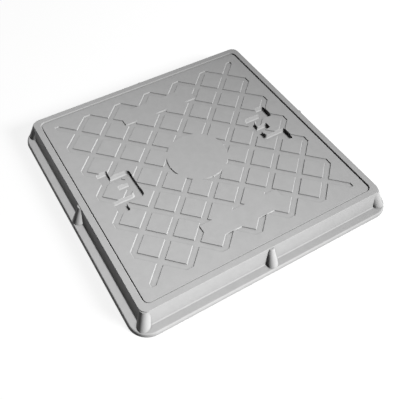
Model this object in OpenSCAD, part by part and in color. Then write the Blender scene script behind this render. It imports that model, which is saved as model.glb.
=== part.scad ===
// Composite drain cover: a square moulded frame with a flange, and a moulded cover
// that lies in it. The cover has a tread of diamond pads, a round centre, two plain
// panels and two recesses for the lifting keys. Millimetres, Z up, with the origin in
// the middle of the frame's underside.

/* [Frame] */
// Outer side of the rim, measured at the top
rim_w = 636; // [630:2:650]
// Corner radius of the rim
rim_r = 19; // [16:1:22]
// Height of the frame
frame_h = 60; // [58:1:70]
// Draft of the outer wall, in degrees
wall_draft = 6.5; // [4:0.5:8]
// Fillet between the outer wall and the flange
foot_r = 3.5; // [2.5:0.5:6]
// Side of the flange, measured at its underside
flange_w = 693.6; // [690:0.2:700]
// Thickness of the flange
flange_t = 10; // [9:0.5:12]
// Rounding of the flange's upper edge
flange_edge_r = 4; // [2:0.5:5]
// How far the flange's side leans in from bottom to top
flange_lean = 2; // [0.5:0.5:3]
// Rounding of the rim's outer edge
rim_edge_r = 0.8; // [0.5:0.1:2]
// Rounding of the upper edges at the joint, on the frame and on the cover
joint_edge_r = 1; // [0.9:0.1:1.6]
// Side of the clear opening
clear_w = 560; // [540:2:566]
// Corner radius of the clear opening
clear_r = 8; // [4:1:14]
// Thickness of the ledge that the cover rests on
seat_t = 12; // [11:0.5:14]

/* [Buttress ribs] */
// Radius of a side rib at the flange
side_rib_foot_r = 15; // [12:0.5:16]
// Radius of a side rib at the rim
side_rib_top_r = 8; // [5:0.5:9]
// Radius of a corner rib at the flange
corner_rib_foot_r = 15.5; // [13:0.5:16]
// Radius of a corner rib at the rim
corner_rib_top_r = 12.5; // [10:0.5:13]
// How far a side rib stands out from the rim's edge at its top
side_rib_crest = 4.4; // [2:0.1:5]
// How far a corner rib stands out from the rim's edge at its top
corner_rib_crest = 2.4; // [0.5:0.1:3]
// How far a side rib's foot reaches past the start of the flange's edge rounding
side_rib_reach = 1; // [0:0.5:2]
// How far a corner rib's foot reaches past the start of the flange's edge rounding
corner_rib_reach = 1; // [0:0.5:3]
// Distance of a rib's flat top below the rim
rib_drop = 3; // [2:0.5:6]

/* [Cover] */
// Side of the cover, measured at the top
cover_w = 600; // [596:1:602]
// Corner radius of the cover
cover_r = 12; // [8:1:16]
// Gap between cover and frame, on each side
joint_gap = 2.2; // [1.5:0.1:4]
// How far the cover lies below the rim
cover_drop = 2.5; // [1:0.5:5]
// Draft of the cover's sides and of the wall round them, in degrees
side_draft = 1.4; // [0.5:0.1:2]

/* [Tread] */
// Distance from one diamond to the next, point to point
diamond_pitch = 90; // [88:1:90]
// Width of a groove at the tread
groove_w = 15.4; // [12:0.2:18]
// Depth of a groove
groove_d = 2.9; // [2:0.1:4]
// Width lost by each groove wall on its way down
groove_lean = 0.9; // [0.4:0.1:1.2]
// How far the flats that end the last grooves lie past the grooves' crossings
field_trim = 2; // [1:0.5:4]
// Radius of the plain disc in the middle
disc_r = 77; // [70:1:82]
// Length of a plain panel
panel_l = 212; // [200:2:220]
// Width of a plain panel
panel_w = 49.2; // [48.8:0.2:50]
// Distance of a panel's middle line from the middle of the cover
panel_y = 211.6; // [211:0.2:212]

/* [Key recesses] */
// Depth of a recess
key_d = 15; // [10:1:18]
// Distance of a recess's outer wall from the middle of the cover
key_outer_x = 246.5; // [240:0.5:250]
// Width of the cross bar, where the key goes in
key_bar_w = 27.3; // [24:0.1:30]
// Length of the cross bar
key_bar_l = 137; // [130:1:142]
// Length of the whole recess, from the outer wall inwards
key_l = 76.5; // [70:0.5:80]
// Width of the inner part
key_w = 92.4; // [86:0.2:98]
// Length of the tongue that stands in the recess
tongue_l = 56.8; // [50:0.2:60]
// Width of the tongue
tongue_w = 55.6; // [50:0.2:60]
// Length of the slot in the tongue
slot_l = 26.8; // [20:0.2:30]
// Width of the slot in the tongue
slot_w = 19.8; // [16:0.2:24]

/* [Underside of the cover] */
// Thickness of the plate above the pockets
plate_t = 18; // [16:1:20]
// Thickness left under a key recess
key_floor_t = 8; // [6:1:9]
// Distance from one rib to the next
pocket_pitch = 54; // [53:0.5:54]
// Side of a pocket at its mouth
pocket_w = 46; // [42:1:47]
// Pockets in each direction
pocket_n = 10; // [8:2:10]
// Draft of the pocket walls, in degrees
pocket_draft = 2; // [1:0.5:3]
// How far the ribs stop short of the face that rests on the ledge
rib_relief = 3; // [2:0.5:4]
// How far the face that rests on the ledge reaches past the ledge
bearing_over = 2; // [1:0.5:3]

/* [Hidden] */

$fn = 96;
body_colour = [0.62, 0.62, 0.62];
over = 1;                                  // how far a cutting shape runs past the solid

rim_half = rim_w / 2;
rim_c = rim_half - rim_r;                  // middle of the rim's corner radius
flange_half = flange_w / 2;
wall_slope = tan(wall_draft);
flange_slope = flange_lean / flange_t;
flange_x = flange_half - rim_c;            // the flange's side at its underside, from rim_c
flange_edge = round_centre(flange_x - flange_lean, flange_t, -flange_slope, 1, flange_edge_r);
cover_top = frame_h - cover_drop;
cover_half = cover_w / 2;
cover_c = cover_half - cover_r;            // middle of the cover's corner radius
opening_r = cover_r + joint_gap;
side_slope = tan(side_draft);
groove_floor = cover_top - groove_d;
groove_slope = groove_lean / groove_d;
half_pitch = diamond_pitch / 2;
field_c = 6 * half_pitch;                  // the outermost groove crossings
field_half = field_c + field_trim;
groove_tail = field_trim * sqrt(2) + 0.2;  // from the last crossing to a groove's end
plate_z = cover_top - plate_t;
key_z = cover_top - key_d;
boss_z = key_z - key_floor_t;
rib_foot_z = seat_t + rib_relief;
relief_half = clear_w / 2 - bearing_over;
pocket_slope = tan(pocket_draft);
pocket_c = (pocket_n - 1) / 2;
rib_z = frame_h - rib_drop;

// Where an edge rounding of radius r lies on a section: x and z are the sharp corner
// under a flat top, s is how far the wall goes outwards for each mm upwards, and side
// is 1 for a wall that faces outwards and -1 for one that faces inwards.
function round_centre(x, z, s, side, r) = [x - s * r - side * r * norm([1, s]), z - r];
function round_start(x, z, s, side, r) =
    round_centre(x, z, s, side, r) + side * r / norm([1, s]) * [1, -s];

// A closed block with a flat top and sloping sides on two faces. It runs along X, from
// z0 to z1, and is 2 * half wide at the height zref, less 2 * slope for each mm above it.
module sloped_bar(len, half, z0, z1, zref, slope) {
    low = half + (zref - z0) * slope;
    high = half + (zref - z1) * slope;
    rotate([90, 0, 90])
        linear_extrude(height = len, center = true)
            polygon([[-low, z0], [low, z0], [high, z1], [-high, z1]]);
}

// A block with four leaning sides and sharp corners
module leaning_block(half_x, half_y, z0, z1, zref, slope) {
    intersection() {
        sloped_bar(2 * half_x + 4 * z1, half_y, z0, z1, zref, slope);
        rotate(90) sloped_bar(2 * half_y + 4 * z1, half_x, z0, z1, zref, slope);
    }
}

// A rectangle between two corners, with round corners
module rounded_rect(x0, x1, y0, y1, r) {
    translate([x0, y0 + r]) square([x1 - x0, y1 - y0 - 2 * r]);
    translate([x0 + r, y0]) square([x1 - x0 - 2 * r, y1 - y0]);
    for (x = [x0 + r, x1 - r], y = [y0 + r, y1 - r]) translate([x, y]) circle(r);
}

// A section carried round a square: straight along the four sides and turned about the
// corner radius's axis, which is c from both middle planes. The section starts at x = 0
// on that axis, and the square inside the axes is filled from z0 to z1.
module round_square(c, z0, z1) {
    for (turn = [0, 90])
        rotate(turn) rotate([90, 0, 90])
            linear_extrude(height = 2 * c, center = true) {
                translate([c, 0]) children();
                mirror([1, 0]) translate([c, 0]) children();
                translate([-c, z0]) square([2 * c, z1 - z0]);
            }
    for (turn = [0 : 90 : 270])
        rotate(turn) translate([c, c, 0]) rotate_extrude(angle = 90) children();
}

// Section through the frame's outer face: rounded rim edge, drafted wall, fillet, and
// flange with a rounded upper edge
module outer_section() {
    foot_x = rim_r + (frame_h - flange_t) * wall_slope;
    fillet_z = flange_t + foot_r;
    fillet_x = rim_r + (frame_h - fillet_z) * wall_slope + foot_r / cos(wall_draft);
    tangent_x = fillet_x - foot_r * cos(wall_draft);
    tangent_z = fillet_z - foot_r * sin(wall_draft);
    rim_edge = round_centre(rim_r, frame_h, -wall_slope, 1, rim_edge_r);
    polygon([[0, 0], [foot_x, 0], [foot_x, flange_t],
             round_start(rim_r, frame_h, -wall_slope, 1, rim_edge_r),
             [rim_edge.x, frame_h], [0, frame_h]]);
    translate(rim_edge) circle(rim_edge_r);
    difference() {
        polygon([[foot_x - 1, flange_t - 1], [fillet_x, flange_t - 1], [fillet_x, flange_t],
                 [tangent_x, tangent_z], [foot_x - 1, tangent_z]]);
        translate([fillet_x, fillet_z]) circle(foot_r);
    }
    polygon([[0, 0], [flange_x, 0],
             round_start(flange_x - flange_lean, flange_t, -flange_slope, 1, flange_edge_r),
             [flange_edge.x, flange_t], [0, flange_t]]);
    translate(flange_edge) circle(flange_edge_r);
}

// Section through the space for the cover, which leaves the rim's inner edge rounded
module opening_section() {
    seat_x = opening_r - (cover_top - seat_t) * side_slope;
    top_x = opening_r + cover_drop * side_slope;
    edge = round_centre(top_x, frame_h, side_slope, -1, joint_edge_r);
    start = round_start(top_x, frame_h, side_slope, -1, joint_edge_r);
    difference() {
        polygon([[0, seat_t], [seat_x, seat_t], start, [edge.x, start.y],
                 [edge.x, frame_h + over], [0, frame_h + over]]);
        translate(edge) circle(joint_edge_r);
    }
}

// Section through the cover's side, with its upper edge rounded
module cover_section() {
    seat_x = cover_r - (cover_top - seat_t) * side_slope;
    edge = round_centre(cover_r, cover_top, side_slope, 1, joint_edge_r);
    start = round_start(cover_r, cover_top, side_slope, 1, joint_edge_r);
    polygon([[0, seat_t], [seat_x, seat_t], start, [edge.x, cover_top], [0, cover_top]]);
    translate(edge) circle(joint_edge_r);
}

// A buttress rib against the wall: a leaning cone, cut flat under the rim. nose is where
// its foot reaches on the flange, and crest where its front starts at the rim, both
// measured outwards from the middle of the frame.
module rib(nose, crest, foot_r, top_r) {
    rise = rib_z - flange_t;
    lean = atan((nose - foot_r - crest + top_r) / rise);
    len = rise / cos(lean);
    more = foot_r;                         // how far the cone runs past both cuts
    taper = more * (foot_r - top_r) / len;
    intersection() {
        translate([nose - foot_r / cos(lean), 0, flange_t]) rotate([0, -lean, 0])
            translate([0, 0, -more])
                cylinder(h = len + 2 * more, r1 = foot_r + taper, r2 = top_r - taper);
        translate([0, -2 * foot_r, flange_t / 2])
            cube([nose + foot_r, 4 * foot_r, rib_z - flange_t / 2]);
    }
}

// Four ribs in the middles of the sides and four at the corners
module ribs() {
    corner_c = rim_c * sqrt(2);
    for (turn = [0 : 90 : 270]) {
        rotate(turn)
            rib(rim_c + flange_edge.x + side_rib_reach, rim_half + side_rib_crest,
                side_rib_foot_r, side_rib_top_r);
        rotate(turn + 45)
            rib(corner_c + flange_edge.x + corner_rib_reach, corner_c + rim_r + corner_rib_crest,
                corner_rib_foot_r, corner_rib_top_r);
    }
}

module frame() {
    color(body_colour) difference() {
        union() {
            round_square(rim_c, 0, frame_h) outer_section();
            ribs();
        }
        round_square(cover_c, seat_t, frame_h + over) opening_section();
        translate([0, 0, -over]) linear_extrude(height = seat_t + 2 * over)
            rounded_rect(-clear_w / 2, clear_w / 2, -clear_w / 2, clear_w / 2, clear_r);
    }
}

// One groove of the tread: a long cutter with leaning walls
module groove(len) {
    sloped_bar(len, groove_w / 2, groove_floor, cover_top + over, cover_top, -groove_slope);
}

// The crossing grooves, ended by flats at their last crossings and kept clear of the
// disc and the two panels
module tread_grooves() {
    difference() {
        intersection() {
            for (turn = [-45, 45], k = [-5 : 5])
                rotate(turn) translate([0, k * half_pitch * sqrt(2), 0])
                    groove(2 * ((field_c - abs(k) * half_pitch) * sqrt(2) + groove_tail));
            leaning_block(field_half, field_half, groove_floor - over, cover_top + 2 * over,
                          cover_top, -groove_slope);
        }
        translate([0, 0, groove_floor - over])
            cylinder(h = groove_d + 3 * over,
                     r1 = disc_r + (groove_d + over) * groove_slope,
                     r2 = disc_r - 2 * over * groove_slope);
        for (side = [-1, 1])
            translate([0, side * panel_y, 0])
                leaning_block(panel_l / 2, panel_w / 2, groove_floor - over, cover_top + 2 * over,
                              cover_top, groove_slope);
    }
}

// Recess for a lifting key, on the +X side: a cross bar and an inner part round a slotted
// tongue that is joined to the tread at the outer wall
module key_recess() {
    bar_x = key_outer_x - key_bar_w;
    tip_x = key_outer_x - tongue_l;
    translate([0, 0, key_z]) linear_extrude(height = key_d + over) difference() {
        union() {
            rounded_rect(bar_x, key_outer_x, -key_bar_l / 2, key_bar_l / 2, 4);
            rounded_rect(key_outer_x - key_l, key_outer_x, -key_w / 2, key_w / 2, 10);
        }
        difference() {
            rounded_rect(tip_x, key_outer_x + 20, -tongue_w / 2, tongue_w / 2, 6);
            rounded_rect(tip_x - 20, tip_x + slot_l, -slot_w / 2, slot_w / 2, 4);
        }
    }
}

// The hollow underside: a shallow relief inside the bearing face, and pockets between
// crossing ribs, which are shallower under the key recesses
module underside() {
    translate([0, 0, seat_t - over]) linear_extrude(height = rib_relief + over)
        rounded_rect(-relief_half, relief_half, -relief_half, relief_half,
                     clear_r - bearing_over);
    difference() {
        intersection() {
            pocket_rows();
            rotate(90) pocket_rows();
        }
        for (side = [-1, 1])
            translate([side * 4 * pocket_pitch, 0, 0])
                leaning_block(pocket_pitch, 2 * pocket_pitch, boss_z, cover_top, boss_z, 0);
    }
}

// Rows of bars that give the pockets where two sets of them cross
module pocket_rows() {
    for (i = [0 : pocket_n - 1])
        translate([0, (i - pocket_c) * pocket_pitch, 0])
            sloped_bar(pocket_n * pocket_pitch, pocket_w / 2, rib_foot_z - over, plate_z,
                       rib_foot_z, pocket_slope);
}

module cover() {
    color(body_colour) difference() {
        round_square(cover_c, seat_t, cover_top) cover_section();
        tread_grooves();
        key_recess();
        mirror([1, 0, 0]) key_recess();
        underside();
    }
}

frame();
cover();
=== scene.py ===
import math

import bmesh
import bpy
from mathutils import Matrix, Vector
from mathutils.kdtree import KDTree


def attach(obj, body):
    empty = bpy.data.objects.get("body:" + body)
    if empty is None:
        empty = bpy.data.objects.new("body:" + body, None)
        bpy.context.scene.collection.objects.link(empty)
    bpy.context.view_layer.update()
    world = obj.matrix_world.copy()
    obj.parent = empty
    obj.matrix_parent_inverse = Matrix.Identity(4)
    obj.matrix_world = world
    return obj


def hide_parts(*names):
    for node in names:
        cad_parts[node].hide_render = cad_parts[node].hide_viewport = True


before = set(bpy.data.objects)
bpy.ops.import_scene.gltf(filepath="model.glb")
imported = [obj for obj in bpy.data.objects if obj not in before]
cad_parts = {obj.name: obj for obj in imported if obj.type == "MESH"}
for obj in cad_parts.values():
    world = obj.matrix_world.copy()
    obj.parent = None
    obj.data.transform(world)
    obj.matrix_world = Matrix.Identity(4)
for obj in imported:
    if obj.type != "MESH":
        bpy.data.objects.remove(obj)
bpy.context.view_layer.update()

MM = 0.001

# Camera, from the perspective of the rim's four corners
CAMERA_PLACE = Vector((-0.4818, -0.7864, 1.0604))
CAMERA_AIM = Vector((-0.0861, -0.1017, 0.0575))
CAMERA_ROLL = math.radians(-0.17)
LENS_MM = 48.87
FRAME_SHIFT = (0.0304, -0.0084)

# Lamps: the key looks past the object on the left, so that its beam fades to the right
LAMP_DISTANCE = 4
KEY_AIM = (-1.89, 0.84, 0)
KEY_SPREAD = math.radians(54)

# How the mesh of a CAD node is made whole, and which of its faces and edges count as what
WELD = 0.002 * MM
CUT_SNAP = 0.01 * MM
FLAT_ANGLE = math.radians(0.2)
SHARP_ANGLE = math.radians(28)
LEVEL_NORMAL = 0.999
UPRIGHT_NORMAL = 0.01

# Edges of the mouldings. A neck is where the points of two grooves nearly meet
TREAD_ROUNDING = 0.5 * MM
KEY_RIM_ROUNDING = 0.5 * MM
KEY_FOOT_FILLET = 3.5 * MM
RIB_ROUNDING = 0.8 * MM
ROUNDING_STEPS = 3
NECK = 0.8 * MM
NECK_REACH = 3 * MM
NECK_SPLIT_FROM = 4.5 * MM

# Heights of the cover that its edges are sorted by, and the lines through the pads'
# corners, which are counted in half pitches from the middle
TREAD_Z = 54 * MM
KEY_FLOOR_Z = 42.5 * MM
POCKET_TOP_Z = 41 * MM
HALF_PITCH = 45 * MM
LAST_LINE = 6
LINE_SLACK = 0.001

# Finish
COMPOSITE_GREY = 0.43
COMPOSITE_ROUGHNESS = 0.65
COMPOSITE_SPECULAR = 0.3
MOTTLE_CHANGE = 0.03
MOTTLE_ENDS = (0.3, 0.7)
MOTTLE_SCALE = 60
MOTTLE_DETAIL = 6
GRAIN_SCALE = 1400
GRAIN_DETAIL = 3
GRAIN_STRENGTH = 0.15
GRAIN_DEPTH = 0.1 * MM
# Painted shade: how far and how strongly ambient occlusion darkens the base colour in corners
# and grooves
PAINTED_SHADE_REACH = 6 * MM
PAINTED_SHADE_STRENGTH = 0.5
PAINTED_SHADE_SAMPLES = 16
FLOOR_GREY = 0.8
FLOOR_LIFT = 0.88
FLOOR_HALF_SIDE = 12


def add_camera():
    camera = bpy.data.objects.new("camera", bpy.data.cameras.new("camera"))
    bpy.context.scene.collection.objects.link(camera)
    camera.data.lens = LENS_MM
    camera.data.shift_x, camera.data.shift_y = FRAME_SHIFT
    turn = (CAMERA_AIM - CAMERA_PLACE).to_track_quat("-Z", "Y").to_matrix().to_4x4()
    roll = Matrix.Rotation(CAMERA_ROLL, 4, "Z")
    camera.matrix_world = Matrix.Translation(CAMERA_PLACE) @ turn @ roll
    bpy.context.scene.camera = camera


def area_lamp(name, azimuth, elevation, side, power, aim=(0, 0, 0)):
    """A square lamp that looks at the point aim. Azimuth 0 is in front, 90 to the right."""
    az, el = math.radians(azimuth), math.radians(elevation)
    away = Vector((math.sin(az) * math.cos(el), -math.cos(az) * math.cos(el), math.sin(el)))
    lamp = bpy.data.objects.new(name, bpy.data.lights.new(name, "AREA"))
    bpy.context.scene.collection.objects.link(lamp)
    lamp.data.size = side
    lamp.data.energy = power
    place = away * LAMP_DISTANCE
    turn = (place - Vector(aim)).to_track_quat("Z", "Y").to_matrix().to_4x4()
    lamp.matrix_world = Matrix.Translation(place) @ turn
    return lamp


def lit_only(name, pieces):
    """A collection that a lamp is linked to, so that it lights these pieces alone."""
    lit = bpy.data.collections.new(name)
    for piece in pieces:
        lit.objects.link(piece)
    return lit


def add_lamps(pieces, floor):
    """The key and the back fill light the pieces alone and throw no bounced light. The key
    casts no shadow either, which keeps the grooves and recesses open, and the fill opens up
    the far walls. The soft lamp lights the floor, which shows the object's shadow and throws
    light on its walls."""
    key = area_lamp("key", azimuth=38, elevation=33, side=0.8, power=42.7, aim=KEY_AIM)
    key.data.spread = KEY_SPREAD
    key.data.use_shadow = False
    back_fill = area_lamp("back fill", azimuth=198, elevation=7, side=1.2, power=24)
    lit_pieces = lit_only("lit pieces", pieces)
    for lamp in (key, back_fill):
        lamp.data.cycles.max_bounces = 0
        lamp.light_linking.receiver_collection = lit_pieces
    soft = area_lamp("soft", azimuth=38, elevation=32, side=1.2, power=60)
    soft.light_linking.receiver_collection = lit_only("lit floor", (floor,))


def merged_copy(node):
    """A copy of a CAD node with its loose triangles welded and its flat faces made whole."""
    mesh = bmesh.new()
    mesh.from_mesh(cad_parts[node].data)
    bmesh.ops.remove_doubles(mesh, verts=mesh.verts, dist=WELD)
    bmesh.ops.dissolve_limit(mesh, angle_limit=FLAT_ANGLE, verts=mesh.verts, edges=mesh.edges)
    return mesh


def tread_faces(mesh):
    """The level faces of the tread: pads, panels, disc, border and groove floors."""
    return [face for face in mesh.faces
            if face.normal.z > LEVEL_NORMAL and face.calc_center_median().z > TREAD_Z]


def on_tread_line(edge):
    """True where an edge runs along a line through the pads' corners."""
    for axis in (0, 1):
        ends = [vert.co[axis] / HALF_PITCH for vert in edge.verts]
        line = round(ends[0])
        if abs(line) <= LAST_LINE and all(abs(end - line) < LINE_SLACK for end in ends):
            return True
    return False


def split_tread(mesh):
    """Divides the tread's level faces along the lines through the pads' corners, both
    ways, so that no face runs round a pad and each corner has an edge that halves it."""
    for axis in (0, 1):
        normal = Vector((1 - axis, axis, 0))
        for line in range(-LAST_LINE, LAST_LINE + 1):
            faces = tread_faces(mesh)
            parts = set(faces)
            for face in faces:
                parts.update(face.edges)
                parts.update(face.verts)
            bmesh.ops.bisect_plane(mesh, geom=list(parts), dist=CUT_SNAP,
                                   plane_co=normal * line * HALF_PITCH, plane_no=normal)
    level = set(tread_faces(mesh))
    spare = [edge for edge in mesh.edges if level.issuperset(edge.link_faces)
             and edge.calc_face_angle(0) < FLAT_ANGLE and not on_tread_line(edge)]
    bmesh.ops.dissolve_edges(mesh, edges=spare, use_verts=False, use_face_split=False)


def is_sharp(edge):
    return edge.calc_face_angle(0) > SHARP_ANGLE


def mark_necks(mesh):
    """Tags the ends of the edges at each neck of the tread and no other edge, because
    there is no room at a neck to round them."""
    for edge in mesh.edges:
        edge.tag = False
    corners = [v for v in mesh.verts if v.co.z > TREAD_Z and any(map(is_sharp, v.link_edges))]
    near = KDTree(len(corners))
    for index, vert in enumerate(corners):
        near.insert(vert.co, index)
    near.balance()
    for vert in corners:
        joined = {edge.other_vert(vert) for edge in vert.link_edges} | {vert}
        if all(corners[index] in joined for _, index, _ in near.find_range(vert.co, NECK)):
            continue
        for edge in list(vert.link_edges):
            if is_sharp(edge) and edge.calc_length() > NECK_SPLIT_FROM:
                bmesh.utils.edge_split(edge, vert, NECK_REACH / edge.calc_length())
        for edge in vert.link_edges:
            edge.tag = True


def cover_rounding(edge):
    """How far a sharp edge of the cover is rounded."""
    if edge.tag:
        return 0
    high = max(vert.co.z for vert in edge.verts)
    if high < POCKET_TOP_Z:
        return RIB_ROUNDING
    if high < KEY_FLOOR_Z + MM:
        return KEY_FOOT_FILLET
    upright = any(abs(face.normal.z) < UPRIGHT_NORMAL for face in edge.link_faces)
    return KEY_RIM_ROUNDING if upright else TREAD_ROUNDING


def stand_in(mesh, node, name, rounding):
    """Turns the mesh into a smooth piece that stands for the node. Its sharp edges are
    rounded as far as rounding says, and stay sharp where that is nothing."""
    weight = mesh.edges.layers.float.new("bevel_weight_edge")
    sharp = {edge: rounding(edge) for edge in mesh.edges if is_sharp(edge)}
    widest = max(sharp.values())
    for edge in mesh.edges:
        edge.smooth = edge not in sharp or sharp[edge] > 0
        edge[weight] = sharp.get(edge, 0) / widest if widest else 0
    for face in mesh.faces:
        face.smooth = True
    data = bpy.data.meshes.new(name)
    mesh.to_mesh(data)
    mesh.free()
    piece = bpy.data.objects.new(name, data)
    bpy.context.scene.collection.objects.link(piece)
    if widest:
        bevel = piece.modifiers.new("rounded edges", "BEVEL")
        bevel.limit_method = "WEIGHT"
        bevel.width = widest
        bevel.segments = ROUNDING_STEPS
        bevel.use_clamp_overlap = False
    weighted = piece.modifiers.new("even shading", "WEIGHTED_NORMAL")
    weighted.keep_sharp = True
    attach(piece, "root")
    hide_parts(node)
    return piece


def composite(name, pattern_shift):
    """Moulded composite: an even grey with faint mottling and a fine grain, with painted
    shade that darkens its corners and grooves."""
    material = bpy.data.materials.new(name)
    material.use_nodes = True
    nodes, links = material.node_tree.nodes, material.node_tree.links
    shader = nodes["Principled BSDF"]
    shader.inputs["Roughness"].default_value = COMPOSITE_ROUGHNESS
    shader.inputs["Specular IOR Level"].default_value = COMPOSITE_SPECULAR
    place = nodes.new("ShaderNodeTexCoord")
    shift = nodes.new("ShaderNodeMapping")
    shift.inputs["Location"].default_value = (pattern_shift,) * 3
    links.new(place.outputs["Object"], shift.inputs["Vector"])

    mottle = nodes.new("ShaderNodeTexNoise")
    mottle.inputs["Scale"].default_value = MOTTLE_SCALE
    mottle.inputs["Detail"].default_value = MOTTLE_DETAIL
    links.new(shift.outputs["Vector"], mottle.inputs["Vector"])
    tone = nodes.new("ShaderNodeValToRGB")
    for end, position, change in zip(tone.color_ramp.elements, MOTTLE_ENDS,
                                     (-MOTTLE_CHANGE, MOTTLE_CHANGE)):
        end.position = position
        end.color = (COMPOSITE_GREY * (1 + change),) * 3 + (1,)
    links.new(mottle.outputs["Fac"], tone.inputs["Fac"])

    # Painted shade: ambient occlusion within a few millimetres darkens the base colour at
    # half strength in corners, grooves and recesses
    corners = nodes.new("ShaderNodeAmbientOcclusion")
    corners.samples = PAINTED_SHADE_SAMPLES
    corners.inputs["Distance"].default_value = PAINTED_SHADE_REACH
    links.new(tone.outputs["Color"], corners.inputs["Color"])
    painted_shade_mix = nodes.new("ShaderNodeMix")
    painted_shade_mix.data_type = "RGBA"
    painted_shade_mix.inputs["Factor"].default_value = PAINTED_SHADE_STRENGTH
    links.new(tone.outputs["Color"], painted_shade_mix.inputs["A"])
    links.new(corners.outputs["Color"], painted_shade_mix.inputs["B"])
    links.new(painted_shade_mix.outputs["Result"], shader.inputs["Base Color"])

    grain = nodes.new("ShaderNodeTexNoise")
    grain.inputs["Scale"].default_value = GRAIN_SCALE
    grain.inputs["Detail"].default_value = GRAIN_DETAIL
    links.new(shift.outputs["Vector"], grain.inputs["Vector"])
    bump = nodes.new("ShaderNodeBump")
    bump.inputs["Strength"].default_value = GRAIN_STRENGTH
    bump.inputs["Distance"].default_value = GRAIN_DEPTH
    links.new(grain.outputs["Fac"], bump.inputs["Height"])
    links.new(bump.outputs["Normal"], shader.inputs["Normal"])
    return material


def seen_directly(nodes, links, amount):
    """The amount where the eye, a reflection or glass sees a surface, and nothing for the
    light that it throws."""
    path = nodes.new("ShaderNodeLightPath")
    most = path.outputs["Is Camera Ray"]
    for kind in ("Is Glossy Ray", "Is Transmission Ray"):
        either = nodes.new("ShaderNodeMath")
        either.operation = "MAXIMUM"
        links.new(most, either.inputs[0])
        links.new(path.outputs[kind], either.inputs[1])
        most = either.outputs[0]
    scale = nodes.new("ShaderNodeMath")
    scale.operation = "MULTIPLY"
    scale.inputs[1].default_value = amount
    links.new(most, scale.inputs[0])
    return scale.outputs[0]


def add_floor():
    """A pale floor, shown white where no shadow falls on it."""
    mesh = bmesh.new()
    bmesh.ops.create_grid(mesh, x_segments=1, y_segments=1, size=FLOOR_HALF_SIDE)
    data = bpy.data.meshes.new("floor")
    mesh.to_mesh(data)
    mesh.free()
    floor = bpy.data.objects.new("floor", data)
    bpy.context.scene.collection.objects.link(floor)
    material = bpy.data.materials.new("pale floor")
    material.use_nodes = True
    nodes, links = material.node_tree.nodes, material.node_tree.links
    shader = nodes["Principled BSDF"]
    shader.inputs["Base Color"].default_value = (FLOOR_GREY,) * 3 + (1,)
    shader.inputs["Roughness"].default_value = 1
    shader.inputs["Specular IOR Level"].default_value = 0
    glow = nodes.new("ShaderNodeEmission")
    total = nodes.new("ShaderNodeAddShader")
    links.new(seen_directly(nodes, links, FLOOR_LIFT), glow.inputs["Strength"])
    links.new(shader.outputs["BSDF"], total.inputs[0])
    links.new(glow.outputs["Emission"], total.inputs[1])
    links.new(total.outputs["Shader"], nodes["Material Output"].inputs["Surface"])
    data.materials.append(material)
    return floor


def add_backdrop():
    """A white world that is seen, and throws no light of its own."""
    world = bpy.data.worlds.new("studio")
    bpy.context.scene.world = world
    world.use_nodes = True
    nodes, links = world.node_tree.nodes, world.node_tree.links
    nodes["Background"].inputs["Color"].default_value = (1, 1, 1, 1)
    links.new(seen_directly(nodes, links, FLOOR_LIFT), nodes["Background"].inputs["Strength"])


add_camera()
floor = add_floor()

# The CAD has rounded the frame's edges already, so only the cover's are rounded here
frame_piece = stand_in(merged_copy("frame"), "frame", "moulded_frame", lambda edge: 0)
frame_piece.data.materials.append(composite("frame composite", 0.0))
cover_mesh = merged_copy("cover")
split_tread(cover_mesh)
mark_necks(cover_mesh)
cover_piece = stand_in(cover_mesh, "cover", "moulded_cover", cover_rounding)
cover_piece.data.materials.append(composite("cover composite", 3.0))

add_lamps((frame_piece, cover_piece), floor)
add_backdrop()
bpy.context.scene.view_settings.view_transform = "Standard"
